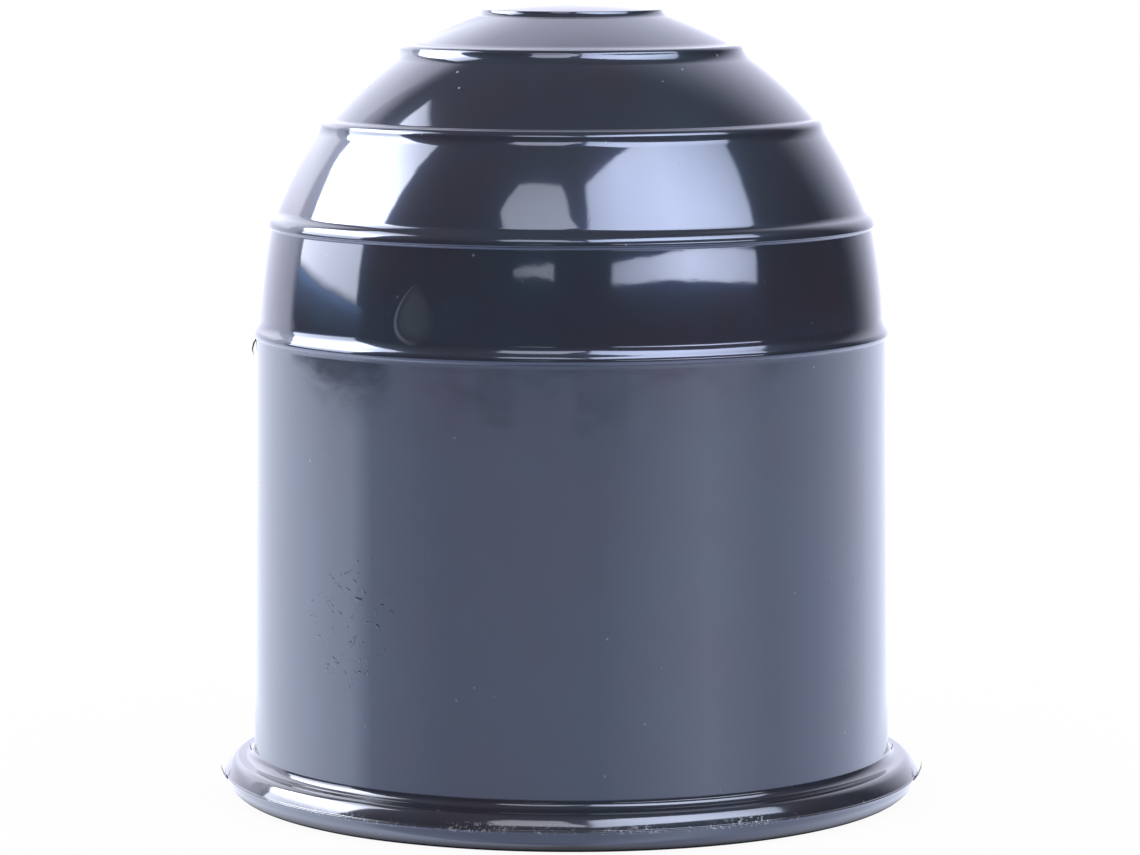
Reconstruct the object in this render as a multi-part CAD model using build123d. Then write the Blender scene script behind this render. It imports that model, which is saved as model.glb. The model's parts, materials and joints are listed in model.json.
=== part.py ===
from build123d import *

import os
from math import cos, radians, sin, sqrt, tan

# Tow ball cover: one moulded plastic cap that is pushed down over a tow ball.
# Millimetres and degrees, +Z up. The origin is the centre of the rim's underside, on the cap's axis.
# The cap is turned about that axis, so its shape is one section, drawn as radius and height.

# The ball and the room round it
BALL_DIAMETER = 50.0
BALL_CLEARANCE = 1.2

# The dome, a half sphere with its centre on the axis
DOME_WALL = 1.5
DOME_CENTRE_HEIGHT = 43.1

# The half-round rings on the dome, placed by latitude above the dome's centre
RING_COUNT = 4
RING_RADIUS = 0.5
LOWEST_RING_LATITUDE = -3.0
RING_SPACING = 20.3

# The crowned pad on top
PAD_RADIUS = 8.05
PAD_RISE = 0.46
PAD_SIDE_ANGLE = 46.0
PAD_CROWN = 0.65
PAD_EDGE_ROUND = 0.1
PAD_COVE = 1.5

# The skirt, which stands a step outside the dome and widens towards the mouth
SKIRT_STEP = 0.38
SKIRT_DRAFT = 0.6

# The rolled rim. Both its halves lean away from the parting line, where the mould left a thin flash.
# The upper half is rolled gently, then tighter over its shoulder, and a cove joins the shoulder to the skirt.
PARTING_HEIGHT = 2.05
RIM_SHOULDER = 1.29
SHOULDER_RADIUS = 0.9
ROLL_RADIUS = 3.8
ROLL_END_ANGLE = 35.0
UPPER_DRAFT = 17.0
LOWER_DRAFT = 8.0
RIM_COVE = 0.8
FLASH_REACH = 0.5
FLASH_ROOT = 0.24
FLASH_TIP = 0.1

# The lead-in at the mouth
MOUTH_CHAMFER = 0.8

# Sizes that follow from the ones above
bore_radius = BALL_DIAMETER / 2 + BALL_CLEARANCE
dome_radius = bore_radius + DOME_WALL
skirt_top_height = DOME_CENTRE_HEIGHT + dome_radius * sin(radians(LOWEST_RING_LATITUDE))
skirt_top_radius = dome_radius + SKIRT_STEP
roll_rise = ROLL_RADIUS * (sin(radians(ROLL_END_ANGLE)) - sin(radians(UPPER_DRAFT)))
roll_width = ROLL_RADIUS * (cos(radians(UPPER_DRAFT)) - cos(radians(ROLL_END_ANGLE)))
flash_top_height = PARTING_HEIGHT + FLASH_ROOT / 2
flash_foot_height = PARTING_HEIGHT - FLASH_ROOT / 2
rim_top_height = flash_top_height + roll_rise + SHOULDER_RADIUS * (1 - sin(radians(ROLL_END_ANGLE)))
skirt_foot_radius = skirt_top_radius + (skirt_top_height - rim_top_height) * tan(radians(SKIRT_DRAFT))
shoulder_edge_radius = skirt_foot_radius + RIM_SHOULDER
rim_radius = shoulder_edge_radius + SHOULDER_RADIUS * cos(radians(ROLL_END_ANGLE)) + roll_width
lower_round = flash_foot_height / (1 - sin(radians(LOWER_DRAFT)))
rim_foot_radius = rim_radius - lower_round * cos(radians(LOWER_DRAFT))
flash_tip_radius = rim_radius + FLASH_REACH

# Places in the section that more than one step needs
dome_centre = Vector(0, DOME_CENTRE_HEIGHT)
pad_edge = Vector(PAD_RADIUS, DOME_CENTRE_HEIGHT + sqrt(dome_radius**2 - PAD_RADIUS**2) + PAD_RISE)
rim_crease = Vector(skirt_foot_radius, rim_top_height)


def pad_foot():
    """Where the pad's sloping side, drawn down from the pad's edge, meets the dome."""
    slope = Vector(sin(radians(PAD_SIDE_ANGLE)), -cos(radians(PAD_SIDE_ANGLE)))
    from_centre = pad_edge - dome_centre
    fall = -from_centre.dot(slope)
    outside = from_centre.length**2 - dome_radius**2
    return pad_edge + slope * (fall - sqrt(fall**2 - outside))


def wall_section():
    """The wall without its rings: pad, dome, skirt and rolled rim outside, bore and round crown inside."""
    crown = Vector(0, pad_edge.Y + PAD_CROWN)
    crown_radius = (PAD_RADIUS**2 + PAD_CROWN**2) / (2 * PAD_CROWN)
    dome_foot = Vector(dome_radius, DOME_CENTRE_HEIGHT)
    flash_top = Vector(rim_radius, flash_top_height)
    flash_foot = Vector(rim_radius, flash_foot_height)
    rim_foot = Vector(rim_foot_radius, 0)
    bore_top = Vector(bore_radius, DOME_CENTRE_HEIGHT)
    hollow_top = Vector(0, DOME_CENTRE_HEIGHT + bore_radius)
    with BuildSketch() as section:
        with BuildLine():
            RadiusArc(crown, pad_edge, crown_radius)
            Line(pad_edge, pad_foot())
            RadiusArc(pad_foot(), dome_foot, dome_radius)
            Polyline(
                dome_foot,
                (dome_radius, skirt_top_height),
                (skirt_top_radius, skirt_top_height),
                rim_crease,
                (shoulder_edge_radius, rim_top_height),
            )
            shoulder = JernArc(
                (shoulder_edge_radius, rim_top_height), (1, 0), SHOULDER_RADIUS, ROLL_END_ANGLE - 90
            )
            RadiusArc(shoulder @ 1, flash_top, ROLL_RADIUS)
            Polyline(
                flash_top,
                (flash_tip_radius, PARTING_HEIGHT + FLASH_TIP / 2),
                (flash_tip_radius, PARTING_HEIGHT - FLASH_TIP / 2),
                flash_foot,
            )
            RadiusArc(flash_foot, rim_foot, lower_round)
            Polyline(
                rim_foot,
                (bore_radius + MOUTH_CHAMFER, 0),
                (bore_radius, MOUTH_CHAMFER),
                bore_top,
            )
            RadiusArc(bore_top, hollow_top, -bore_radius)
            Line(hollow_top, crown)
        make_face()
    return section.sketch


def ring_centres():
    """The middle of each ring's round. The lowest ring covers the step from the dome to the skirt."""
    centres = []
    for number in range(RING_COUNT):
        latitude = radians(LOWEST_RING_LATITUDE + number * RING_SPACING)
        step = SKIRT_STEP / 2 if number == 0 else 0
        centres.append(dome_centre + Vector(dome_radius * cos(latitude) + step, dome_radius * sin(latitude)))
    return centres


def rounded(section, corner, radius):
    """The section with the corner nearest to a point rounded."""
    return fillet(section.vertices().sort_by_distance(corner)[0], radius)


def cap_section():
    """The wall with its half-round rings, and with the pad's edge and foot and the rim's crease rounded."""
    rings = [Pos(centre) * Circle(RING_RADIUS) for centre in ring_centres()]
    section = wall_section() + rings
    section = rounded(section, pad_edge, PAD_EDGE_ROUND)
    section = rounded(section, pad_foot(), PAD_COVE)
    return rounded(section, rim_crease, RIM_COVE)


def tow_ball_cap():
    """The section turned about the cap's axis."""
    return revolve(Plane.XZ * cap_section(), Axis.Z)


os.makedirs("parts", exist_ok=True)
export_step(tow_ball_cap(), "parts/tow_ball_cap.step")
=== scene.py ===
import json
from collections import namedtuple
from math import acos, asin, atan2, cos, degrees, dist, exp, hypot, pi, radians, sin, sqrt, tan

import bpy
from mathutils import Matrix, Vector, noise


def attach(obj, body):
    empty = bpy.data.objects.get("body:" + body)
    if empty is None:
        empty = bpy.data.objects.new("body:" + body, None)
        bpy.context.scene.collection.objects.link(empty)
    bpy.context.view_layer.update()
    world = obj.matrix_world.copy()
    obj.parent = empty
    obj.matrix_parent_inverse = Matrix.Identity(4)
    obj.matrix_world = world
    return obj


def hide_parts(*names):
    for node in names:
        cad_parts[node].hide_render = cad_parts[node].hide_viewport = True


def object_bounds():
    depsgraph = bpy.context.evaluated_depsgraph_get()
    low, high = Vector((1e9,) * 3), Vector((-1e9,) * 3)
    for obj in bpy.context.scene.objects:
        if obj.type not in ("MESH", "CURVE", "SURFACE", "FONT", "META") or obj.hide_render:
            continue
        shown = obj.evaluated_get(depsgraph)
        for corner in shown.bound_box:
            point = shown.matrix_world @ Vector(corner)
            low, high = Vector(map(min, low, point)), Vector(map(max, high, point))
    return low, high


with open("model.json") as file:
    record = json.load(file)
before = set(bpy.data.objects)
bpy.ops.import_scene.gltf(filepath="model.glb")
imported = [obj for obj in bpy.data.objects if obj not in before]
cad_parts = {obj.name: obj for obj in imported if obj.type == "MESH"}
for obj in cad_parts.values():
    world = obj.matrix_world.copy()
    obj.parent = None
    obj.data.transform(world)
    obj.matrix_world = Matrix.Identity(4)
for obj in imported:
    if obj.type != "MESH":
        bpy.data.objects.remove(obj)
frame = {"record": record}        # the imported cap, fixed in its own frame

cad_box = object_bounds()

# The looks of a tow ball cover: one moulded cap of glossy black plastic, standing on a white studio table.

# The cap's sizes in millimetres, +Z up from the rim's underside. Those that the frame holds come from it.
MM = 0.001
CAP_HEIGHT = cad_box[1].z / MM
FLASH_RADIUS = cad_box[1].x / MM
BORE_RADIUS = frame["record"]["mounts"][0]["dims"]["r_mm"]

DOME_RADIUS = 27.7
DOME_CENTRE_HEIGHT = 43.1

# The four bands that the rings part, from the top: each band's own radius, and how far its middle lies
# inside the dome
Band = namedtuple("Band", "radius hollow")
BANDS = (Band(57.0, -0.07), Band(31.0, 0.01), Band(43.0, 0.035), Band(55.3, 0.015))

# The rings, from the top: latitude on the dome, radius of the round and of its underside, how far the
# round's middle stands out of the dome, and the radius of the cove above the ring and of the cove below it
Ring = namedtuple("Ring", "latitude radius under stand above below")
RINGS = (
    Ring(57.7, 0.49, 0.49, 0.045, 3.0, 1.7),
    Ring(37.6, 0.73, 0.73, -0.38, 0.48, 2.1),
    Ring(17.15, 1.18, 0.11, -0.66, 1.1, 0.25),
    Ring(-3.4, 0.85, 0.39, -0.2, 1.8, 0.08),
)
# The place on a ring's round, in degrees above the outward direction, where its underside begins
UNDERSIDE_START = 2.0

PAD_RADIUS = 8.05
PAD_CROWN = 0.6
PAD_EDGE_EASE = 0.07
PAD_COVE = 0.88

SKIRT_STEP = 0.38
SKIRT_DRAFT = 0.6

# The rolled rim. Its upper half leans in from the parting line, flat at first and then tighter, up to a
# narrow shoulder.
PARTING_HEIGHT = 2.05
RIM_HEIGHT = 3.5
RIM_REACH = 31.03
UPPER_DRAFT = 17.0
ROLL_RADIUS = 3.8
ROLL_END = 35.0
LOWER_DRAFT = 8.0
CREASE_RADIUS = 0.8
FLASH_ROOT = 0.2
FLASH_TIP = 0.06
MOUTH_EASE = 0.8

# How finely the turned section is drawn
SEGMENTS = 288
BAND_STEPS = 24
BEAD_STEPS = 9
COVE_STEPS = 7
SKIRT_STEPS = 18
RIM_STEPS = 12
EASE_STEPS = 6
CROWN_STEPS = 10
BORE_STEPS = 4
HOLLOW_STEPS = 12

# How far the moulded surface strays from the drawn section
WAVE_LENGTH = 9.0
WAVE_HEIGHT = 0.014
FLASH_WAVE_LENGTH = 1.6
FLASH_WAVE_HEIGHT = 0.12
# The flash is a mere line but for two tongues, at these angles round the axis
FLASH_LEAST = 0.06
FLASH_TONGUES = (184.0, 355.0)
FLASH_TONGUE_SPREAD = 3.0
FLASH_TONGUE_REACH = 0.2

# Whiskers of flash: each is a path of angles round the axis, radii and heights, and a thickness at its root
WHISKERS = (
    (((183.6, 27.9, 41.0), (183.3, 28.25, 40.6), (183.1, 28.4, 40.0), (183.3, 28.3, 39.4)), 0.2),
    (((184.5, 28.75, 4.0), (184.3, 28.85, 4.3), (184.1, 28.85, 4.6)), 0.09),
    (((356.0, 28.75, 4.0), (356.2, 28.85, 4.3), (356.4, 28.85, 4.6)), 0.08),
    (((190.0, 31.0, 2.0), (187.5, 31.25, 2.15), (185.5, 31.4, 2.4), (184.0, 31.48, 2.75)), 0.2),
    (((348.0, 31.0, 2.05), (351.5, 31.25, 2.2), (354.5, 31.42, 2.5), (356.5, 31.48, 3.0)), 0.2),
)

dome_centre = (0, DOME_CENTRE_HEIGHT)
skirt_top_height = DOME_CENTRE_HEIGHT + DOME_RADIUS * sin(radians(RINGS[-1].latitude))
skirt_top_radius = DOME_RADIUS + SKIRT_STEP
skirt_foot_radius = skirt_top_radius + (skirt_top_height - RIM_HEIGHT) * tan(radians(SKIRT_DRAFT))
pad_edge = (PAD_RADIUS, CAP_HEIGHT - PAD_CROWN)


def spaced(start, end, steps):
    """Even values from start to end."""
    return [start + (end - start) * step / steps for step in range(steps + 1)]


def crowded(start, end, steps):
    """Values from start to end that crowd together near both."""
    return [start + (end - start) * (1 - cos(pi * step / steps)) / 2 for step in range(steps + 1)]


def on_circle(centre, radius, angle):
    """The place on a circle of the section at an angle, in degrees above the outward direction."""
    return (centre[0] + radius * cos(radians(angle)), centre[1] + radius * sin(radians(angle)))


def arc(centre, radius, start, end, steps, values=spaced):
    """Places on an arc of the section, between two angles."""
    return [on_circle(centre, radius, angle) for angle in values(start, end, steps)]


def run(start, end, steps, values=spaced):
    """Places on a straight run of the section."""
    return list(zip(values(start[0], end[0], steps), values(start[1], end[1], steps)))


def toward(start, end, length):
    """The place that lies a length from start on the way to end."""
    share = length / dist(start, end)
    return (start[0] + (end[0] - start[0]) * share, start[1] + (end[1] - start[1]) * share)


def eased(before, corner, after, ease):
    """Places that turn the corner between two runs, starting and ending a length away from it."""
    first, last = toward(corner, before, ease), toward(corner, after, ease)
    places = []
    for share in spaced(0, 1, EASE_STEPS):
        rest = 1 - share
        places.append(tuple(rest**2 * a + 2 * rest * share * b + share**2 * c
                            for a, b, c in zip(first, corner, last)))
    return places


def bearing(start, end):
    """The angle of the way from start to end, in degrees above the outward direction."""
    return degrees(atan2(end[1] - start[1], end[0] - start[0]))


def ring_middle(ring):
    """The middle of a ring's round."""
    return on_circle(dome_centre, DOME_RADIUS + ring.stand, ring.latitude)


def under_middle(ring):
    """The middle of the round of a ring's underside, which goes on smoothly from the ring's own round."""
    return on_circle(ring_middle(ring), ring.radius - ring.under, UNDERSIDE_START)


def band_centre(number):
    """The middle of the circle that a band is part of, which lies in line with the middle of the band."""
    band = BANDS[number]
    top = RINGS[number - 1].latitude if number else 2 * RINGS[0].latitude - RINGS[1].latitude
    latitude = (top + RINGS[number].latitude) / 2
    return on_circle(dome_centre, DOME_RADIUS - band.hollow - band.radius, latitude)


def cove_middle(number, round_middle, round_radius, cove, side):
    """The middle of the cove that touches a band and a round, above the round (1) or below it (-1)."""
    centre = band_centre(number)
    far, near = BANDS[number].radius + cove, round_radius + cove
    apart = dist(centre, round_middle)
    turn = degrees(acos((far**2 + apart**2 - near**2) / (2 * far * apart)))
    return on_circle(centre, far, bearing(centre, round_middle) + side * turn)


def crown_section():
    """The crowned pad: its top, its eased edge, and the cove from that edge down to the top band."""
    crown_radius = (PAD_RADIUS**2 + PAD_CROWN**2) / (2 * PAD_CROWN)
    slope = degrees(asin(PAD_RADIUS / crown_radius))
    crown = arc((0, CAP_HEIGHT - crown_radius), crown_radius, 90, 90 - slope, CROWN_STEPS, crowded)
    cove = cove_middle(0, pad_edge, 0, PAD_COVE, -1)
    side = arc(cove, PAD_COVE, bearing(cove, pad_edge), bearing(cove, band_centre(0)), COVE_STEPS)
    return crown[:-1] + eased(crown[-2], pad_edge, side[1], PAD_EDGE_EASE) + side[1:]


def ring_round(ring, upper, lower):
    """The round of a ring and of its underside, between the coves whose middles are given."""
    middle, foot = ring_middle(ring), under_middle(ring)
    if bearing(foot, lower) > UNDERSIDE_START:
        return arc(middle, ring.radius, bearing(middle, upper), bearing(middle, lower), 2 * BEAD_STEPS)
    places = arc(middle, ring.radius, bearing(middle, upper), UNDERSIDE_START, BEAD_STEPS)
    return places + arc(foot, ring.under, UNDERSIDE_START, bearing(foot, lower), BEAD_STEPS)[1:]


def dome_section(start):
    """The four bands, each with the ring below it and its coves, from the pad's foot to the skirt."""
    places = []
    for number, ring in enumerate(RINGS):
        centre, middle, foot = band_centre(number), ring_middle(ring), under_middle(ring)
        upper = cove_middle(number, middle, ring.radius, ring.above, 1)
        places += arc(centre, BANDS[number].radius, bearing(centre, start), bearing(centre, upper),
                      BAND_STEPS, crowded)[1:]
        places += arc(upper, ring.above, bearing(upper, centre), bearing(upper, middle), COVE_STEPS)[1:]
        if number + 1 < len(BANDS):
            lower = cove_middle(number + 1, foot, ring.under, ring.below, -1)
            end = bearing(lower, band_centre(number + 1))
        else:
            # The lowest ring's cove runs into the skirt, which is taken as upright there
            fall = sqrt((ring.under + ring.below) ** 2 - (skirt_top_radius + ring.below - foot[0]) ** 2)
            lower = (skirt_top_radius + ring.below, foot[1] - fall)
            end = 180
        places += ring_round(ring, upper, lower)[1:]
        places += arc(lower, ring.below, bearing(lower, foot) % 360, end % 360, COVE_STEPS)[1:]
        start = places[-1]
    return places


def rim_section(skirt_top):
    """The skirt, the crease at its foot, and the rim: its shoulder, roll, flash and lower half."""
    roll = on_circle((RIM_REACH, PARTING_HEIGHT), -ROLL_RADIUS, UPPER_DRAFT)
    roll_top = on_circle(roll, ROLL_RADIUS, ROLL_END)
    shoulder_radius = (RIM_HEIGHT - roll_top[1]) / (1 - sin(radians(ROLL_END)))
    shoulder = (roll_top[0] - shoulder_radius * cos(radians(ROLL_END)), RIM_HEIGHT - shoulder_radius)
    lower_radius = PARTING_HEIGHT / (1 - sin(radians(LOWER_DRAFT)))
    lower = (RIM_REACH - lower_radius * cos(radians(LOWER_DRAFT)), lower_radius)
    crease = (skirt_foot_radius + CREASE_RADIUS, RIM_HEIGHT + CREASE_RADIUS)
    cove = arc(crease, CREASE_RADIUS, 180 + SKIRT_DRAFT, 270, COVE_STEPS)
    places = run(skirt_top, cove[0], SKIRT_STEPS, crowded)[1:-1]
    places += cove
    places += arc(shoulder, shoulder_radius, 90, ROLL_END, RIM_STEPS)
    places += arc(roll, ROLL_RADIUS, ROLL_END, UPPER_DRAFT, RIM_STEPS)[1:-1]
    places += [(RIM_REACH, PARTING_HEIGHT + FLASH_ROOT / 2), (FLASH_RADIUS, PARTING_HEIGHT + FLASH_TIP / 2)]
    places += [(FLASH_RADIUS, PARTING_HEIGHT - FLASH_TIP / 2), (RIM_REACH, PARTING_HEIGHT - FLASH_ROOT / 2)]
    places += arc(lower, lower_radius, -LOWER_DRAFT, -90, RIM_STEPS)[1:]
    return places


def hollow_section():
    """The mouth's eased edge, the bore and the round hollow above it, up to the axis."""
    mouth = (BORE_RADIUS, 0)
    bore_top = (BORE_RADIUS, DOME_CENTRE_HEIGHT)
    places = eased((RIM_REACH, 0), mouth, bore_top, MOUTH_EASE)
    places += run(toward(mouth, bore_top, MOUTH_EASE), bore_top, BORE_STEPS)[1:-1]
    places += arc(dome_centre, BORE_RADIUS, 0, 90, HOLLOW_STEPS)
    return places


def cap_section():
    """The whole section, from the top of the crown round to the top of the hollow."""
    outside = crown_section()
    outside += dome_section(outside[-1])
    return outside + rim_section(outside[-1]) + hollow_section()


def outward_lines(places):
    """For each place of the section, the unit line that points out of the plastic."""
    lines = []
    for number in range(len(places)):
        before, after = places[max(number - 1, 0)], places[min(number + 1, len(places) - 1)]
        across, up = after[0] - before[0], after[1] - before[1]
        length = hypot(across, up)
        lines.append((-up / length, across / length))
    return lines


def round_axis(radius, angle, height):
    """The place in metres at a radius and height in millimetres and an angle in radians round the axis."""
    return (radius * cos(angle) * MM, radius * sin(angle) * MM, height * MM)


def strayed(place, line, angle):
    """A place of the section at an angle round the axis, moved by the unevenness of the moulding."""
    spot = Vector((place[0] * cos(angle), place[0] * sin(angle), place[1]))
    stray = WAVE_HEIGHT * noise.noise(spot / WAVE_LENGTH)
    if place[0] >= FLASH_RADIUS:
        # The flash's tip is drawn back until it reaches out only as far as it should at this angle
        line = (1, 0)
        longest = FLASH_RADIUS - RIM_REACH
        turns = [(degrees(angle) - tongue + 180) % 360 - 180 for tongue in FLASH_TONGUES]
        near = sum(exp(-((turn / FLASH_TONGUE_SPREAD) ** 2)) for turn in turns)
        reach = FLASH_LEAST + (FLASH_TONGUE_REACH - FLASH_LEAST) * near
        stray = reach - longest - min(reach, FLASH_WAVE_HEIGHT) * abs(noise.noise(spot / FLASH_WAVE_LENGTH))
    return round_axis(place[0] + line[0] * stray, angle, place[1] + line[1] * stray)


def new_object(name, points, faces):
    """An object of the scene with a mesh of its own."""
    mesh = bpy.data.meshes.new(name)
    mesh.from_pydata(points, [], faces)
    made = bpy.data.objects.new(name, mesh)
    bpy.context.scene.collection.objects.link(made)
    return made


def turned_cap():
    """The cap as one closed mesh: the section turned about the axis, with a single point at each pole."""
    section = cap_section()
    rings = list(zip(section, outward_lines(section)))[1:-1]
    angles = [2 * pi * number / SEGMENTS for number in range(SEGMENTS)]
    points = [(0, 0, section[0][1] * MM)]
    for place, line in rings:
        points += [strayed(place, line, angle) for angle in angles]
    points.append((0, 0, section[-1][1] * MM))
    faces = []
    for step in range(SEGMENTS):
        after = (step + 1) % SEGMENTS
        faces.append((0, 1 + step, 1 + after))
        for ring in range(len(rings) - 1):
            upper, lower = 1 + ring * SEGMENTS, 1 + (ring + 1) * SEGMENTS
            faces.append((upper + step, lower + step, lower + after, upper + after))
        last = 1 + (len(rings) - 1) * SEGMENTS
        faces.append((last + step, len(points) - 1, last + after))
    return new_object("moulded_cap", points, faces)


def flash_whiskers():
    """Thin slivers that the mould left standing at its edges, three-sided and tapering to a point."""
    points = []
    faces = []
    for path, thickness in WHISKERS:
        first = len(points)
        for number, (angle, radius, height) in enumerate(path[:-1]):
            half = thickness * (1 - number / len(path)) / 2
            for out, up in ((-half, 0), (half, half), (half, -half)):
                points.append(round_axis(radius + out, radians(angle), height + up))
        angle, radius, height = path[-1]
        points.append(round_axis(radius, radians(angle), height))
        faces.append((first, first + 1, first + 2))
        for number in range(len(path) - 2):
            near, far = first + 3 * number, first + 3 * number + 3
            faces += [(near + side, far + side, far + (side + 1) % 3, near + (side + 1) % 3)
                      for side in range(3)]
        near, tip = first + 3 * (len(path) - 2), len(points) - 1
        faces += [(near + side, tip, near + (side + 1) % 3) for side in range(3)]
    return new_object("flash_whiskers", points, faces)


def linear(hex_colour):
    """An sRGB hex colour as linear red, green, blue and alpha."""
    shares = [int(hex_colour[place:place + 2], 16) / 255 for place in (1, 3, 5)]
    return [share / 12.92 if share <= 0.04045 else ((share + 0.055) / 1.055) ** 2.4
            for share in shares] + [1.0]


# Settings that several nodes share
TIMES = {"operation": "MULTIPLY"}
MINUS = {"operation": "SUBTRACT"}
OVER = {"operation": "DIVIDE"}
LARGER = {"operation": "MAXIMUM"}
LENGTH = {"operation": "LENGTH"}
APART = {"operation": "DISTANCE"}
SMOOTH = {"interpolation_type": "SMOOTHSTEP"}
COLOURS = {"data_type": "RGBA"}
VALUES = {"data_type": "FLOAT"}


def add_node(tree, kind, settings=None, **inputs):
    """A shader node with its settings. Each input goes by its name, or as _0, _1 and so on by its number
    among those in use. A node (by its first output in use) or a socket is linked, and a value is set."""
    node = tree.nodes.new("ShaderNode" + kind)
    for name, value in (settings or {}).items():
        setattr(node, name, value)
    in_use = [socket for socket in node.inputs if socket.enabled]
    for name, value in inputs.items():
        socket = in_use[int(name[1:])] if name[1:].isdigit() else node.inputs[name.replace("_", " ")]
        if isinstance(value, bpy.types.Node):
            value = next(output for output in value.outputs if output.enabled)
        if isinstance(value, bpy.types.NodeSocket):
            tree.links.new(value, socket)
        else:
            socket.default_value = value
    return node


def set_ramp(node, stops):
    """Gives a colour ramp its stops, each a place along the ramp and a colour, in rising order."""
    elements = node.color_ramp.elements
    for place, colour in stops[1:-1]:
        elements.new(place)
    for element, (place, colour) in zip(elements, stops):
        element.position = place
        element.color = linear(colour)


def new_material(name):
    """A node material with no nodes in it, and its node tree."""
    material = bpy.data.materials.new(name)
    material.use_nodes = True
    material.node_tree.nodes.clear()
    return material, material.node_tree


# Where the moulding is marked, in millimetres: the middle of each mark and its reach. The rough
# patch and the scuffs are full within their core.
ROUGH_PATCH = Vector((-19.4, -20.7, 17.4))
ROUGH_REACH = 10.0
ROUGH_CORE = ROUGH_REACH / 3
SCUFFED_PLACES = (Vector((-13.5, -27.9, 2.0)), Vector((11.0, -29.0, 2.0)))
SCUFF_REACH = 15.0
SCUFF_CORE = 6.0
DROP_MARK = Vector((-13.25, -24.27, 45.3))
DROP_REACH = Vector((2.45, 2.45, 2.6))

# The scuffed band of the rim, in millimetres: how far it goes above the parting line, where it fades below
# the line, and the radius outside which the rim is scuffed
SCUFF_ABOVE = 0.8
SCUFF_BELOW = (-0.25, -0.05)
SCUFF_RADIUS = 30.5

# Sizes of the patterns in the plastic, in millimetres
PIGMENT_SIZE = 12.0
HANDLING_SIZE = 10.0
DUST_AND_GLINT_SIZE = 1.6
DRIFT_SIZE = 9.0
HAIRLINE_SIZE = 0.33
PIMPLE_SIZE = 0.65
FLECK_SIZE = 0.23
RUB_SIZE = 4.2
COOLING_SIZE = 2.9
POLISH_SIZE = 0.6

# Hairlines lean a little, in radians, and are drawn out along the axis
HAIRLINE_LEAN = (0.2, 0.25, 0.0)
HAIRLINE_STRETCH = (1.0, 1.0, 0.1)

# How deep or how high the patterns are, in millimetres
HAIRLINE_DEPTH = 0.004
DROP_DEPTH = 0.006
PIMPLE_HEIGHT = 0.012
COOLING_HEIGHT = 0.01
POLISH_HEIGHT = 0.0012

# The value of its pattern at which each mark begins to show, and the value at which it shows fully
GRAIN_RANGE = (0.1, 0.06)
KEPT_RANGE = (0.74, 0.84)
DRIFT_RANGE = (0.42, 0.62)
HAIRLINE_RANGE = (0.79, 0.88)
PIMPLE_RANGE = (0.6, 0.76)
FLECK_RANGE = (0.53, 0.66)
RUB_RANGE = (0.44, 0.6)
DROP_FILM_RANGE = (0.35, 0.65)
HANDLING_RANGE = (0.3, 0.7)

# The dried drop, in shares of its reach: where its hollow begins and ends, the width of its pale edge,
# which is a painted highlight, and where that edge fades out to the right. Then how pale the painted
# highlight is, and its film at least and at most.
DROP_HOLLOW = (1.12, 0.5)
DROP_HIGHLIGHT_WIDTH = 0.1
DROP_HIGHLIGHT_FADE = (0.2, -0.6)
DROP_HIGHLIGHT_PALE = 0.42
DROP_FILM = (0.03, 0.13)
# The share of the drop's width that is left at its tip, so that nothing is divided by zero
DROP_TIP = 0.01

# How strongly the parting line is scuffed away from the scuffed places and at them
SCUFF_SHARES = (0.1, 0.85)

# Colours: the pigment by the value of its pattern, the marks on the plastic, and the haze in it
PIGMENT = ((0.35, "#2C2A35"), (0.65, "#28303C"))
# The dust's pale colour is partly real dust and partly painted highlight, for small bright glints
DUST_AND_GLINT_COLOUR = "#7E828C"
HAIRLINE_COLOUR = "#4A4E59"
# The drop's colour serves both its film of dried residue and the painted highlight on its left edge
DROP_FILM_AND_HIGHLIGHT_COLOUR = "#80828C"
SCUFF_COLOUR = "#B4B8C2"
SKIRT_HAZE = "#05080C"
DOME_HAZE = "#0C1420"

# Roughness of the dome and the skirt, at least and at most, of what is worn or dusty, of the haze, and of
# the coat, which has a share of its own
DOME_ROUGHNESS = (0.035, 0.07)
SKIRT_ROUGHNESS = (0.05, 0.09)
WORN_ROUGHNESS = 0.6
HAZE_ROUGHNESS = 0.17
COAT_ROUGHNESS = 0.3
COAT_SHARE = 0.1
POLYETHYLENE_IOR = 1.51
# The height in millimetres over which the skirt's gloss goes over into the dome's, under the lowest ring
GLOSS_STEP = 0.5


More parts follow.
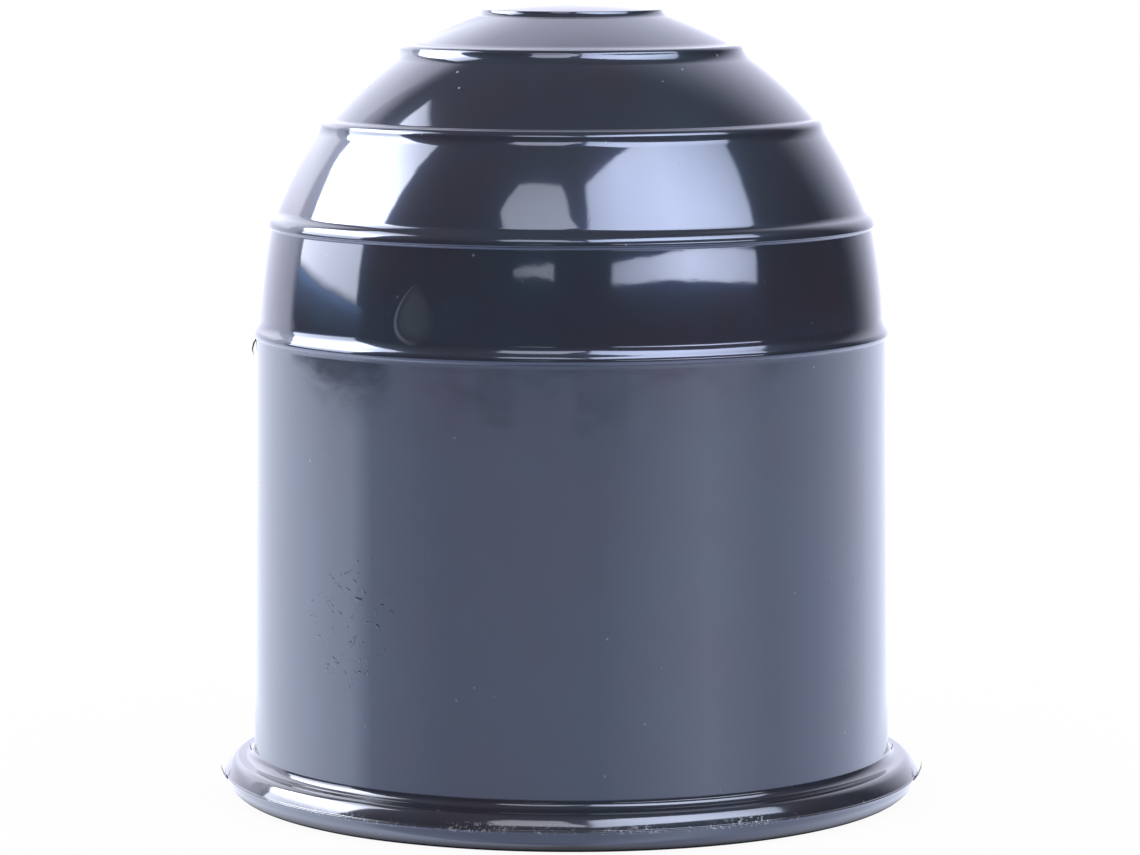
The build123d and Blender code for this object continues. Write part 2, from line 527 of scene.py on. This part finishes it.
def moulded_polyethylene():
    """Black polyethylene, injection moulded: deep blue-black with a wet gloss, dust whose pale grains also
    serve as painted glints, hairlines and a scuffed parting line."""
    material, tree = new_material("moulded_polyethylene")
    place = add_node(tree, "TexCoord").outputs["Object"]
    parts = add_node(tree, "SeparateXYZ", Vector=place).outputs

    # Cloudy pigment, in patches that lean to brown or to teal
    cloud = add_node(tree, "TexNoise", Vector=place, Scale=1 / (PIGMENT_SIZE * MM),
                     Detail=3.0, Roughness=0.6)
    pigment = add_node(tree, "ValToRGB", Fac=cloud)
    set_ramp(pigment, PIGMENT)

    # Handling, which has dulled the gloss in patches
    handled = add_node(tree, "TexNoise", Vector=place, Scale=1 / (HANDLING_SIZE * MM),
                       Detail=4.0, Roughness=0.65)

    # Dust: grains of 0.2 to 0.3 mm, coarser than real dust so that they show, in about one cell of five.
    # Their pale colour also stands in for small bright glints, as painted highlights.
    cells = add_node(tree, "TexVoronoi", Vector=place, Scale=1 / (DUST_AND_GLINT_SIZE * MM))
    grain = add_node(tree, "MapRange", Value=cells, From_Min=GRAIN_RANGE[0], From_Max=GRAIN_RANGE[1])
    pick = add_node(tree, "SeparateColor", Color=cells.outputs["Color"])
    kept = add_node(tree, "MapRange", Value=pick, From_Min=KEPT_RANGE[0], From_Max=KEPT_RANGE[1])
    drift = add_node(tree, "TexNoise", Vector=place, Scale=1 / (DRIFT_SIZE * MM), Detail=1.0)
    drifted = add_node(tree, "MapRange", Value=drift, From_Min=DRIFT_RANGE[0], From_Max=DRIFT_RANGE[1])
    grains = add_node(tree, "Math", TIMES, _0=grain, _1=kept)
    dust_and_glints = add_node(tree, "Math", TIMES, _0=grains, _1=drifted)

    # Hairlines, one or two millimetres long and mostly upright, from being pulled on and off
    stretched = add_node(tree, "Mapping", Vector=place, Rotation=HAIRLINE_LEAN, Scale=HAIRLINE_STRETCH)
    lines = add_node(tree, "TexNoise", Vector=stretched, Scale=1 / (HAIRLINE_SIZE * MM), Detail=1.0)
    hairline = add_node(tree, "MapRange", Value=lines,
                        From_Min=HAIRLINE_RANGE[0], From_Max=HAIRLINE_RANGE[1])

    # The rough patch low on the skirt, with pimples of about half a millimetre
    off_patch = add_node(tree, "VectorMath", APART, _0=place, _1=ROUGH_PATCH * MM)
    in_patch = add_node(tree, "MapRange", Value=off_patch,
                        From_Min=ROUGH_REACH * MM, From_Max=ROUGH_CORE * MM)
    lumps = add_node(tree, "TexNoise", Vector=place, Scale=1 / (PIMPLE_SIZE * MM), Detail=2.0)
    pimple = add_node(tree, "MapRange", Value=lumps, From_Min=PIMPLE_RANGE[0], From_Max=PIMPLE_RANGE[1])
    pimples = add_node(tree, "Math", TIMES, _0=pimple, _1=in_patch)

    # The parting line, scuffed pale in flecks where the cap has been handled and set down
    off_line = add_node(tree, "Math", MINUS, _0=parts["Z"], _1=PARTING_HEIGHT * MM)
    above = add_node(tree, "MapRange", Value=off_line, From_Min=SCUFF_ABOVE * MM, From_Max=0.0)
    below = add_node(tree, "MapRange", Value=off_line,
                     From_Min=SCUFF_BELOW[0] * MM, From_Max=SCUFF_BELOW[1] * MM)
    axis_line = add_node(tree, "CombineXYZ", X=parts["X"], Y=parts["Y"])
    reach = add_node(tree, "VectorMath", LENGTH, _0=axis_line)
    outside = add_node(tree, "Math", {"operation": "GREATER_THAN"}, _0=reach, _1=SCUFF_RADIUS * MM)
    flecks = add_node(tree, "TexNoise", Vector=place, Scale=1 / (FLECK_SIZE * MM),
                      Detail=1.0, Roughness=0.6)
    fleck = add_node(tree, "MapRange", Value=flecks, From_Min=FLECK_RANGE[0], From_Max=FLECK_RANGE[1])
    from_left, from_right = [add_node(tree, "VectorMath", APART, _0=place, _1=spot * MM)
                             for spot in SCUFFED_PLACES]
    nearest = add_node(tree, "Math", {"operation": "MINIMUM"}, _0=from_left, _1=from_right)
    scuffed = add_node(tree, "MapRange", Value=nearest, From_Min=SCUFF_REACH * MM, From_Max=SCUFF_CORE * MM,
                       To_Min=SCUFF_SHARES[0], To_Max=SCUFF_SHARES[1])
    rubs = add_node(tree, "TexNoise", Vector=place, Scale=1 / (RUB_SIZE * MM), Detail=3.0, Roughness=0.7)
    rub = add_node(tree, "MapRange", Value=rubs, From_Min=RUB_RANGE[0], From_Max=RUB_RANGE[1])
    rubbed = add_node(tree, "Math", TIMES, _0=rub, _1=scuffed)
    on_line = add_node(tree, "Math", TIMES, _0=above, _1=below)
    on_rim = add_node(tree, "Math", TIMES, _0=on_line, _1=outside)
    on_flecks = add_node(tree, "Math", TIMES, _0=on_rim, _1=fleck)
    scuff = add_node(tree, "Math", TIMES, _0=on_flecks, _1=rubbed)

    # The mark of a dried drop on the lowest band: a shallow tear, pointed at the top, with a painted
    # highlight along its left edge
    off_drop = add_node(tree, "VectorMath", MINUS, _0=place, _1=DROP_MARK * MM)
    in_drop = add_node(tree, "VectorMath", OVER, _0=off_drop, _1=DROP_REACH * MM)
    drop_parts = add_node(tree, "SeparateXYZ", Vector=in_drop).outputs
    below_tip = add_node(tree, "MapRange", Value=drop_parts["Z"],
                         From_Min=1.0, From_Max=-1.0, To_Min=DROP_TIP)
    taper = add_node(tree, "Math", {"operation": "SQRT"}, _0=below_tip)
    tapers = add_node(tree, "CombineXYZ", X=taper, Y=taper, Z=1.0)
    in_tear = add_node(tree, "VectorMath", OVER, _0=in_drop, _1=tapers)
    tear_reach = add_node(tree, "VectorMath", LENGTH, _0=in_tear)
    drop = add_node(tree, "MapRange", SMOOTH, Value=tear_reach,
                    From_Min=DROP_HOLLOW[0], From_Max=DROP_HOLLOW[1])
    edge_gap = add_node(tree, "Math", MINUS, _0=tear_reach, _1=1.0)
    edge_off = add_node(tree, "Math", {"operation": "ABSOLUTE"}, _0=edge_gap)
    # The pale edge is a painted highlight, kept to the left side, toward the bright light on the left
    edge = add_node(tree, "MapRange", Value=edge_off,
                    From_Min=DROP_HIGHLIGHT_WIDTH, From_Max=0.0, To_Max=DROP_HIGHLIGHT_PALE)
    left_half = add_node(tree, "MapRange", Value=drop_parts["X"],
                         From_Min=DROP_HIGHLIGHT_FADE[0], From_Max=DROP_HIGHLIGHT_FADE[1])
    film = add_node(tree, "MapRange", Value=handled, From_Min=DROP_FILM_RANGE[0],
                    From_Max=DROP_FILM_RANGE[1], To_Min=DROP_FILM[0], To_Max=DROP_FILM[1])
    filmed = add_node(tree, "Math", TIMES, _0=film, _1=drop)
    left_edge = add_node(tree, "Math", TIMES, _0=edge, _1=left_half)
    drop_film_and_highlight = add_node(tree, "Math", LARGER, _0=left_edge, _1=filmed)

    # The pigment, and over it the dust with its painted glints, the hairlines, the dried drop with its
    # painted highlight and the scuffs
    with_dust_and_glints = add_node(tree, "Mix", COLOURS, _0=dust_and_glints, _1=pigment, _2=linear(DUST_AND_GLINT_COLOUR))
    scratched = add_node(tree, "Mix", COLOURS, _0=hairline, _1=with_dust_and_glints, _2=linear(HAIRLINE_COLOUR))
    with_drop_and_highlight = add_node(tree, "Mix", COLOURS, _0=drop_film_and_highlight, _1=scratched, _2=linear(DROP_FILM_AND_HIGHLIGHT_COLOUR))
    colour = add_node(tree, "Mix", COLOURS, _0=scuff, _1=with_drop_and_highlight, _2=linear(SCUFF_COLOUR))

    # The skirt is duller than the dome, and handling has dulled both
    dome_gloss, skirt_gloss = [add_node(tree, "MapRange", Value=handled, To_Min=least, To_Max=most,
                                        From_Min=HANDLING_RANGE[0], From_Max=HANDLING_RANGE[1])
                               for least, most in (DOME_ROUGHNESS, SKIRT_ROUGHNESS)]
    on_dome = add_node(tree, "MapRange", Value=parts["Z"],
                       From_Min=(skirt_top_height - GLOSS_STEP) * MM, From_Max=skirt_top_height * MM)
    plain_gloss = add_node(tree, "Mix", VALUES, _0=on_dome, _1=skirt_gloss, _2=dome_gloss)
    worn = add_node(tree, "Math", LARGER, _0=dust_and_glints, _1=scuff)
    gloss = add_node(tree, "Mix", VALUES, _0=worn, _1=plain_gloss, _2=WORN_ROUGHNESS)

    # Waves that the cooling plastic left and ripples of the mould's polish, then the sunk and raised marks
    waves = add_node(tree, "TexNoise", Vector=place, Scale=1 / (COOLING_SIZE * MM), Detail=1.0)
    cooled = add_node(tree, "Bump", Strength=1.0, Distance=COOLING_HEIGHT * MM, Height=waves)
    ripple = add_node(tree, "TexNoise", Vector=place, Scale=1 / (POLISH_SIZE * MM), Detail=2.0)
    polish = add_node(tree, "Bump", Strength=1.0, Distance=POLISH_HEIGHT * MM, Height=ripple, Normal=cooled)
    sunk = add_node(tree, "Bump", {"invert": True}, Strength=1.0, Distance=DROP_DEPTH * MM,
                    Height=drop, Normal=polish)
    raised = add_node(tree, "Bump", Strength=1.0, Distance=PIMPLE_HEIGHT * MM, Height=pimples, Normal=sunk)
    cut = add_node(tree, "Bump", {"invert": True}, Strength=1.0, Distance=HAIRLINE_DEPTH * MM,
                   Height=hairline, Normal=raised)

    # A thin dull coat over the gloss spreads a faint glow round each bright reflection
    shader = add_node(tree, "BsdfPrincipled", Base_Color=colour, Roughness=gloss, IOR=POLYETHYLENE_IOR,
                      Coat_Weight=COAT_SHARE, Coat_Roughness=COAT_ROUGHNESS, Coat_IOR=POLYETHYLENE_IOR,
                      Normal=cut)
    # The pigment just under the surface scatters blue, which glows softly round the brightest reflections
    tint = add_node(tree, "Mix", COLOURS, _0=on_dome, _1=linear(SKIRT_HAZE), _2=linear(DOME_HAZE))
    haze = add_node(tree, "BsdfGlossy", Color=tint, Roughness=HAZE_ROUGHNESS, Normal=cut)
    plastic = add_node(tree, "AddShader", _0=shader, _1=haze)
    add_node(tree, "OutputMaterial", Surface=plastic)
    return material


# The studio: distances in metres, directions in degrees, with azimuth 0 in front of the cap and positive
# to the right
CARD_DISTANCE = 0.9
CARD_CENTRE = Vector((0, 0, 0.045))
CARD_STEPS = 32
FLOOR_HALF = 3.0

# The bright cards round the cap: name, left and right edge from the top as azimuths and elevations, colour,
# rows of strengths from the top, and soft edges
BRIGHT_CARDS = (
    ("card_left_back", ((-172, 46), (-172, 2)), ((-139, 48), (-132, 2)),
     "#EDEFFF", ((2.6, 3.0), (3.0, 4.2)), (0.08, 0.4, 0.3)),
    ("card_left", ((-124, 51.2), (-118, 42), (-127, 31), (-130, 23), (-122, 13), (-121, 3.5)),
     ((-78.3, 50.1), (-82, 41), (-82.5, 33), (-82, 24), (-84.2, 13), (-83.8, 3.3)),
     "#EBEFFF", ((6, 6), (13, 13), (25, 24), (25, 24), (9.5, 9), (9, 8.4)), (0.03, 0.03, 0.03)),
    ("card_left_low", ((-124, 3.8), (-124, -2.5)), ((-79, 3.6), (-79, -2.5)),
     "#94BFFF", ((2.4, 2.4), (0.8, 0.8), (0.36, 0.36), (0.08, 0.08), (0.02, 0.02)), (0.12, 0.02, 0.3)),
    ("card_right_upper", ((6.5, 51), (6.5, 32)), ((96, 47.5), (80, 27)),
     "#DAE2FA", ((10, 14, 13, 8.5, 5), (9.5, 13.5, 16.5, 14, 9)), (0.02, 0.03, 0.03)),
    ("card_right_lower", ((14.4, 15.6), (14.1, 11.6)), ((73.8, 13.2), (72.3, 7.7)),
     "#DCE3FA", ((6, 10, 16, 12, 7.5), (6, 10, 15, 12, 7.5)), (0.02, 0.1, 0.1)),
    ("card_front_upper", ((-26.8, 50.2), (-31, 46), (-33, 42), (-29, 38), (-29, 34)),
     ((-4.8, 51), (-1, 47), (0.5, 43), (6, 38.5), (6, 34)),
     "#EAECFA", ((4.9, 5.2, 5.6), (6.2, 6.6, 7.4)), (0.04, 0.04, 0.04)),
    ("card_front_lower", ((-21.4, 14.4), (-21.3, 13.1)), ((-5.8, 15.7), (-6.1, 12.4)),
     "#EAECFA", ((2.8, 4.0, 4.0), (2.8, 4.0, 4.0)), (0.06, 0.15, 0.15)),
)

# Low strips that stand on the table, darker than its light: name, left and right foot, height, colour and
# strength
TABLE_STRIPS = (
    ("strip_left", (-0.40, 0.26), (-0.42, -0.21), 0.011, "#5A6E96", 1.0),
    ("strip_front_left", (-0.24, -0.36), (-0.14, -0.41), 0.0045, "#8A94B0", 2.8),
    ("strip_front_right", (0.0, -0.42), (0.15, -0.39), 0.005, "#8A94B0", 2.4),
)
STRIP_SOFT_EDGES = (0.15, 0.15, 0.5)

# What the gloss sees of the room, by the parts of a direction: x to the right, y to the back and z up.
# Each has the value of its part where its light starts, the value where it is full, and its full strength.
LEFT_SWEEP = (0.48, 0.62, 2.1)
RIGHT_SWEEP = (0.55, 1.0, 2.0)
CEILING = (0.3, 0.9, 0.3)
ROOM_DARK = 0.02
# How far the right half of the sweep leans over the cap, and how far the halves reach past the middle
RIGHT_LEAN = 0.35
SWEEP_OVERLAP = 0.15
# The upward part of a direction where the table ends, and where the room begins
HORIZON = (-0.080, -0.066)

# The light of the white table round the cap, from behind it by the left: azimuth and colour
TABLE_STRENGTH = 5.0
TABLE_LIGHT = (
    (-180, "#8C8E93"), (-140, "#AEB3C4"), (-110, "#C8D2EC"), (-86, "#C6D2EE"), (-76, "#969FBC"),
    (-60, "#8F98B5"), (-45, "#848EAB"), (10, "#8A94B0"), (50, "#B4BEDD"), (75, "#99A2BE"),
    (95, "#9CA4C1"), (135, "#ACB2C7"),
)

# The share of a radial gradient at which the front lies. It starts on the left.
FRONT_SHARE = 0.25

# How dark the gloss finds the table close to the cap, as the radius where the dark begins, the radius where
# it is full, and its share: under the rim, and in the cap's shadow behind it
UNDER_RIM = (0.0312, 0.0295, 1.0)
SHADOW = (0.050, 0.034, 0.2)
SHADOW_CENTRE = (0.0, 0.032, 0.0)
# The table is left out under the cap, within this radius, so that light gets into the hollow
TABLE_HOLE = 0.02875
# The share of the table's white that is its own light. The rest is lit, and takes the cap's shadow.
TABLE_GLOW = 0.95

# The camera: its place in metres, its pitch in degrees, its focal length in the photograph's pixels, and
# its sensor in millimetres
CAMERA_PLACE = (-0.000117, -0.4462, 0.0837)
CAMERA_PITCH = 6.509
CAMERA_FOCAL_PIXELS = 5023
IMAGE_WIDTH_PIXELS = 1140
SENSOR_WIDTH = 36.0


def card_corner(azimuth, elevation):
    """The place on a card's edge that is seen from the cap in a direction."""
    level = cos(radians(elevation))
    line = Vector((level * sin(radians(azimuth)), -level * cos(radians(azimuth)), sin(radians(elevation))))
    return CARD_CENTRE + line * CARD_DISTANCE


def blended(values, share):
    """The value at a share of the way along evenly spaced values."""
    step = min(int(share * (len(values) - 1)), len(values) - 2)
    rest = share * (len(values) - 1) - step
    return values[step] * (1 - rest) + values[step + 1] * rest


def studio_card(name, left_edge, right_edge, colour, strengths, soft_edges):
    """A card that only the gloss shows. Its edges run down from the top, and so do its rows of strengths.
    The soft edges are shares of the card: the sides, the top and the bottom."""
    sides, top, bottom = soft_edges
    points = []
    glow = []
    cover = []
    for down in spaced(0, 1, CARD_STEPS):
        for across in spaced(0, 1, CARD_STEPS):
            points.append(blended(left_edge, down).lerp(blended(right_edge, down), across))
            glow.append(blended([blended(row, across) for row in strengths], down))
            share = min(across / sides, (1 - across) / sides, down / top, (1 - down) / bottom, 1)
            cover.append(share * share * (3 - 2 * share))
    wide = CARD_STEPS + 1
    faces = [(y * wide + x, y * wide + x + 1, (y + 1) * wide + x + 1, (y + 1) * wide + x)
             for y in range(CARD_STEPS) for x in range(CARD_STEPS)]
    card = new_object(name, points, faces)
    for attribute, values in (("glow", glow), ("cover", cover)):
        card.data.attributes.new(attribute, "FLOAT", "POINT").data.foreach_set("value", values)
    material, tree = new_material(name)
    strength = add_node(tree, "Attribute", {"attribute_name": "glow"}).outputs["Fac"]
    shown = add_node(tree, "Attribute", {"attribute_name": "cover"}).outputs["Fac"]
    emission = add_node(tree, "Emission", Color=linear(colour), Strength=strength)
    clear = add_node(tree, "BsdfTransparent")
    edged = add_node(tree, "MixShader", _0=shown, _1=clear, _2=emission)
    add_node(tree, "OutputMaterial", Surface=edged)
    card.data.materials.append(material)
    card.visible_camera = False
    card.visible_diffuse = False
    card.visible_shadow = False


def studio_world():
    """White to the camera and to the matt light. The gloss sees a dark room in front, a white sweep behind
    and the table."""
    world = bpy.data.worlds.new("studio")
    bpy.context.scene.world = world
    world.use_nodes = True
    tree = world.node_tree
    tree.nodes.clear()
    glossy_ray = add_node(tree, "LightPath").outputs["Is Glossy Ray"]
    line = add_node(tree, "TexCoord").outputs["Generated"]
    parts = add_node(tree, "SeparateXYZ", Vector=line).outputs

    # The sweep and the ceiling
    leaning = add_node(tree, "Math", {"operation": "MULTIPLY_ADD"},
                       _0=parts["Z"], _1=RIGHT_LEAN, _2=parts["Y"])
    right_sweep = add_node(tree, "MapRange", SMOOTH, Value=leaning, From_Min=RIGHT_SWEEP[0],
                           From_Max=RIGHT_SWEEP[1], To_Min=ROOM_DARK, To_Max=RIGHT_SWEEP[2])
    left_sweep = add_node(tree, "MapRange", SMOOTH, Value=parts["Y"], From_Min=LEFT_SWEEP[0],
                          From_Max=LEFT_SWEEP[1], To_Min=ROOM_DARK, To_Max=LEFT_SWEEP[2])
    side = add_node(tree, "MapRange", Value=parts["X"], From_Min=-SWEEP_OVERLAP, From_Max=SWEEP_OVERLAP)
    sweep = add_node(tree, "Mix", VALUES, _0=side, _1=left_sweep, _2=right_sweep)
    ceiling = add_node(tree, "MapRange", Value=parts["Z"], From_Min=CEILING[0], From_Max=CEILING[1],
                       To_Min=ROOM_DARK, To_Max=CEILING[2])
    room_light = add_node(tree, "Math", {"operation": "ADD"}, _0=sweep, _1=ceiling)
    room = add_node(tree, "Background", Color=linear("#E9EAFF"), Strength=room_light)

    # The table's light, which changes with the azimuth
    turn = add_node(tree, "TexGradient", {"gradient_type": "RADIAL"}, Vector=line)
    table = add_node(tree, "ValToRGB", Fac=turn.outputs["Fac"])
    set_ramp(table, sorted(((FRONT_SHARE + azimuth / 360) % 1, colour) for azimuth, colour in TABLE_LIGHT))
    lit_table = add_node(tree, "Background", Color=table, Strength=TABLE_STRENGTH)

    horizon = add_node(tree, "MapRange", SMOOTH, Value=parts["Z"], From_Min=HORIZON[0], From_Max=HORIZON[1])
    around = add_node(tree, "MixShader", _0=horizon, _1=lit_table, _2=room)
    even = add_node(tree, "Background", Color=linear("#FFFFFF"), Strength=1.0)
    seen = add_node(tree, "MixShader", _0=glossy_ray, _1=even, _2=around)
    add_node(tree, "OutputWorld", Surface=seen)


def pale_floor():
    """The white table that the camera sees, with the cap's faint shadow. The gloss sees the world's table
    light past it."""
    corners = [(-FLOOR_HALF, -FLOOR_HALF, 0), (FLOOR_HALF, -FLOOR_HALF, 0),
               (FLOOR_HALF, FLOOR_HALF, 0), (-FLOOR_HALF, FLOOR_HALF, 0)]
    floor = new_object("floor", corners, [(0, 1, 2, 3)])
    material, tree = new_material("white_table")
    ray = add_node(tree, "LightPath").outputs
    surface = add_node(tree, "NewGeometry").outputs

    matt = add_node(tree, "BsdfDiffuse", Color=linear("#FFFFFF"))
    white = add_node(tree, "Emission", Color=linear("#FFFFFF"), Strength=1.0)
    share = add_node(tree, "Math", TIMES, _0=ray["Is Camera Ray"], _1=TABLE_GLOW)
    seen = add_node(tree, "MixShader", _0=share, _1=matt, _2=white)

    # What the gloss sees
    from_axis = add_node(tree, "VectorMath", LENGTH, _0=surface["Position"])
    under_rim = add_node(tree, "MapRange", Value=from_axis,
                         From_Min=UNDER_RIM[0], From_Max=UNDER_RIM[1], To_Max=UNDER_RIM[2])
    from_shadow = add_node(tree, "VectorMath", APART, _0=surface["Position"], _1=SHADOW_CENTRE)
    in_shadow = add_node(tree, "MapRange", SMOOTH, Value=from_shadow,
                         From_Min=SHADOW[0], From_Max=SHADOW[1], To_Max=SHADOW[2])
    shade = add_node(tree, "Math", LARGER, _0=under_rim, _1=in_shadow)
    clear = add_node(tree, "BsdfTransparent")
    dark = add_node(tree, "Emission", Color=linear("#000000"), Strength=0.0)
    mirrored = add_node(tree, "MixShader", _0=shade, _1=clear, _2=dark)

    # The table is clear from below and under the cap
    plain = add_node(tree, "MixShader", _0=ray["Is Glossy Ray"], _1=seen, _2=mirrored)
    under_cap = add_node(tree, "Math", {"operation": "LESS_THAN"}, _0=from_axis, _1=TABLE_HOLE)
    left_out = add_node(tree, "Math", LARGER, _0=surface["Backfacing"], _1=under_cap)
    one_sided = add_node(tree, "MixShader", _0=left_out, _1=plain, _2=clear)
    add_node(tree, "OutputMaterial", Surface=one_sided)
    floor.data.materials.append(material)


def photo_camera():
    """The camera at the photograph's height, distance and tilt."""
    data = bpy.data.cameras.new("camera")
    data.sensor_width = SENSOR_WIDTH
    data.lens = SENSOR_WIDTH * CAMERA_FOCAL_PIXELS / IMAGE_WIDTH_PIXELS
    camera = bpy.data.objects.new("camera", data)
    camera.location = CAMERA_PLACE
    camera.rotation_euler = (radians(90 - CAMERA_PITCH), 0, 0)
    bpy.context.scene.collection.objects.link(camera)
    bpy.context.scene.camera = camera


bpy.context.scene.view_settings.view_transform = "Standard"
photo_camera()
studio_world()
pale_floor()
for name, left, right, colour, strengths, soft_edges in BRIGHT_CARDS:
    studio_card(name, [card_corner(*place) for place in left], [card_corner(*place) for place in right],
                colour, strengths, soft_edges)
for name, left, right, height, colour, strength in TABLE_STRIPS:
    left_edge, right_edge = [[Vector((*foot, height)), Vector((*foot, 0.0))] for foot in (left, right)]
    studio_card(name, left_edge, right_edge, colour, ((strength, strength), (strength, strength)),
                STRIP_SOFT_EDGES)

plastic = moulded_polyethylene()
cap = turned_cap()
whiskers = flash_whiskers()
for piece in (cap, whiskers):
    piece.data.shade_smooth()
    piece.data.materials.append(plastic)
    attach(piece, "root")
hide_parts("tow_ball_cap")
